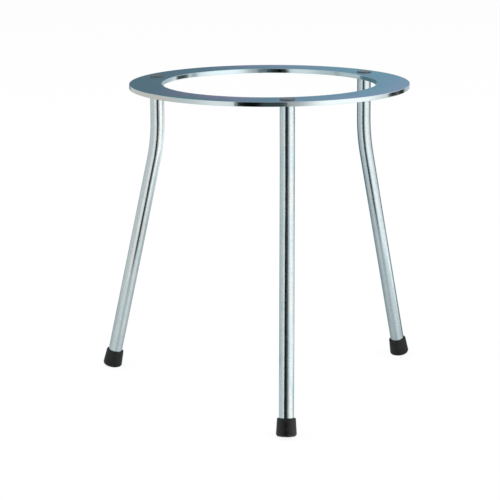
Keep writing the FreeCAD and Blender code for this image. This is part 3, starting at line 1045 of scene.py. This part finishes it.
def add_camera(stage, ring):
    """Camera at the photo's viewing angle."""
    camera = bpy.data.cameras.new("camera")
    camera.sensor_width = SENSOR_WIDTH
    camera.lens = stage.focal_pixels / IMAGE_WIDTH * SENSOR_WIDTH
    camera.clip_end = 100.0
    obj = add_object("camera", camera)
    level_distance = stage.camera_distance * cos(stage.camera_height)
    rise = stage.camera_distance * sin(stage.camera_height)
    place = bearing(-stage.camera_side, level_distance, ring.top + rise)
    obj.matrix_world = (Matrix.Translation(place)
                        @ Matrix.Rotation(-stage.camera_turn, 4, "Z")
                        @ Matrix.Rotation(pi / 2 - stage.camera_pitch, 4, "X")
                        @ Matrix.Rotation(-stage.camera_roll, 4, "Z"))
    bpy.context.scene.camera = obj


def set_room(stage):
    """White room to the camera and in metal, dimmer light on matt surfaces."""
    world = bpy.data.worlds.new("room")
    bpy.context.scene.world = world
    world.use_nodes = True
    tree = world.node_tree
    tree.nodes.clear()
    glow = feed(tree, add_node(tree, "Background"), Color=rgba(WHITE),
                Strength=ramp(tree, shown_white(tree), 0.0, 1.0, stage.room_level, 1.0))
    end_tree(tree, "World", glow)


class STAND_OT_ring(bpy.types.Operator):
    """Model the ring plate and give it its finish"""

    bl_idname = "stand.ring"
    bl_label = "Ring plate"

    def execute(self, context):
        stand = context.scene.tripod_stand
        ring = model_ring(stand.ring, stand.leg)
        film = plate_film_finish(stand.finish, stand.ring, stand.leg)
        finish_piece(ring, "ring_plate", film)
        walls = plate_wall_finish(stand.finish, stand.ring)
        paint_faces(ring, walls, lambda face: abs(face.normal.z) < WALL_FACE)
        return {"FINISHED"}


class STAND_OT_legs(bpy.types.Operator):
    """Model a leg, copy it to its three places and hammer the heads"""

    bl_idname = "stand.legs"
    bl_label = "Legs"

    def execute(self, context):
        stand = context.scene.tripod_stand
        leg = model_leg(stand.ring, stand.leg, stand.foot)
        marks = hammer_marks(stand.leg)
        material = plated_leg_finish(stand.finish, stand.ring, stand.leg)
        top = bend_height(stand.ring, stand.leg)
        for side in SIDES:
            piece = copy_piece(leg, f"{side}_leg")
            place = head_place(side)
            turn = Matrix.Rotation(leg_direction(side) - pi / 2, 4, "Z")
            place_piece(piece, Matrix.Translation((place.x, place.y, top)) @ turn)
            peen_head(piece, stand.leg, marks)
            finish_piece(piece, f"leg_{side}", material)
        bpy.data.objects.remove(leg)
        return {"FINISHED"}


class STAND_OT_feet(bpy.types.Operator):
    """Model a rubber foot and copy it to the three legs"""

    bl_idname = "stand.feet"
    bl_label = "Feet"

    def execute(self, context):
        stand = context.scene.tripod_stand
        leg = stand.leg
        foot = model_foot(leg, stand.foot)
        material = rubber_finish(stand.finish, stand.foot)
        height = leg_end_height(leg, stand.foot)
        run = lower_run(stand.ring, leg, stand.foot)
        reach = leg.bend_radius * (1 - cos(leg.splay)) + run * sin(leg.splay)
        tilt = Matrix.Rotation(-leg.splay, 4, "Y")
        for side in SIDES:
            piece = copy_piece(foot, f"{side}_foot")
            direction = leg_direction(side)
            place = head_place(side) + reach * Vector((cos(direction), sin(direction), 0))
            place.z = height
            turn = Matrix.Rotation(direction, 4, "Z")
            place_piece(piece, Matrix.Translation(place) @ turn @ tilt)
            finish_piece(piece, f"foot_{side}", material)
        bpy.data.objects.remove(foot)
        return {"FINISHED"}


class STAND_OT_stage(bpy.types.Operator):
    """Set the camera, the lamps, the floor and the room"""

    bl_idname = "stand.stage"
    bl_label = "Stage"

    def execute(self, context):
        stand = context.scene.tripod_stand
        stage = stand.stage
        context.scene.view_settings.view_transform = "Standard"
        add_camera(stage, stand.ring)
        set_room(stage)
        deselect_objects()
        bpy.ops.mesh.primitive_plane_add(size=stage.floor_size)
        floor = context.active_object
        floor.name = "floor"
        floor.data.materials.append(floor_finish(stage))
        floor.visible_glossy = False
        add_cards(stage)
        add_lamps(stage)
        return {"FINISHED"}


class STAND_PT_sidebar(bpy.types.Panel):
    """Sizes, finishes and steps of the stand"""

    bl_idname = "STAND_PT_sidebar"
    bl_label = "Tripod Stand"
    bl_space_type = "VIEW_3D"
    bl_region_type = "UI"
    bl_category = "Tripod Stand"

    def draw(self, context):
        stand = context.scene.tripod_stand
        for step in STEPS:
            self.layout.operator(step.bl_idname)
        for group in (stand.ring, stand.leg, stand.foot, stand.finish, stand.stage):
            box = self.layout.box()
            for name in group.bl_rna.properties.keys():
                if name not in ("rna_type", "name"):
                    box.prop(group, name)


STEPS = (STAND_OT_ring, STAND_OT_legs, STAND_OT_feet, STAND_OT_stage)
GROUPS = (RingSizes, LegSizes, FootSizes, FinishValues, StageValues, StandValues)


def register():
    """Register the classes and hang the values on the scene."""
    for item in (*GROUPS, *STEPS, STAND_PT_sidebar):
        bpy.utils.register_class(item)
    bpy.types.Scene.tripod_stand = PointerProperty(type=StandValues)


def unregister():
    """Take the values and the classes away again."""
    del bpy.types.Scene.tripod_stand
    for item in reversed((*GROUPS, *STEPS, STAND_PT_sidebar)):
        bpy.utils.unregister_class(item)


def main():
    """Build the stand and its stage."""
    register()
    bpy.ops.stand.ring()
    bpy.ops.stand.legs()
    bpy.ops.stand.feet()
    bpy.ops.stand.stage()


if __name__ == "__main__":
    main()
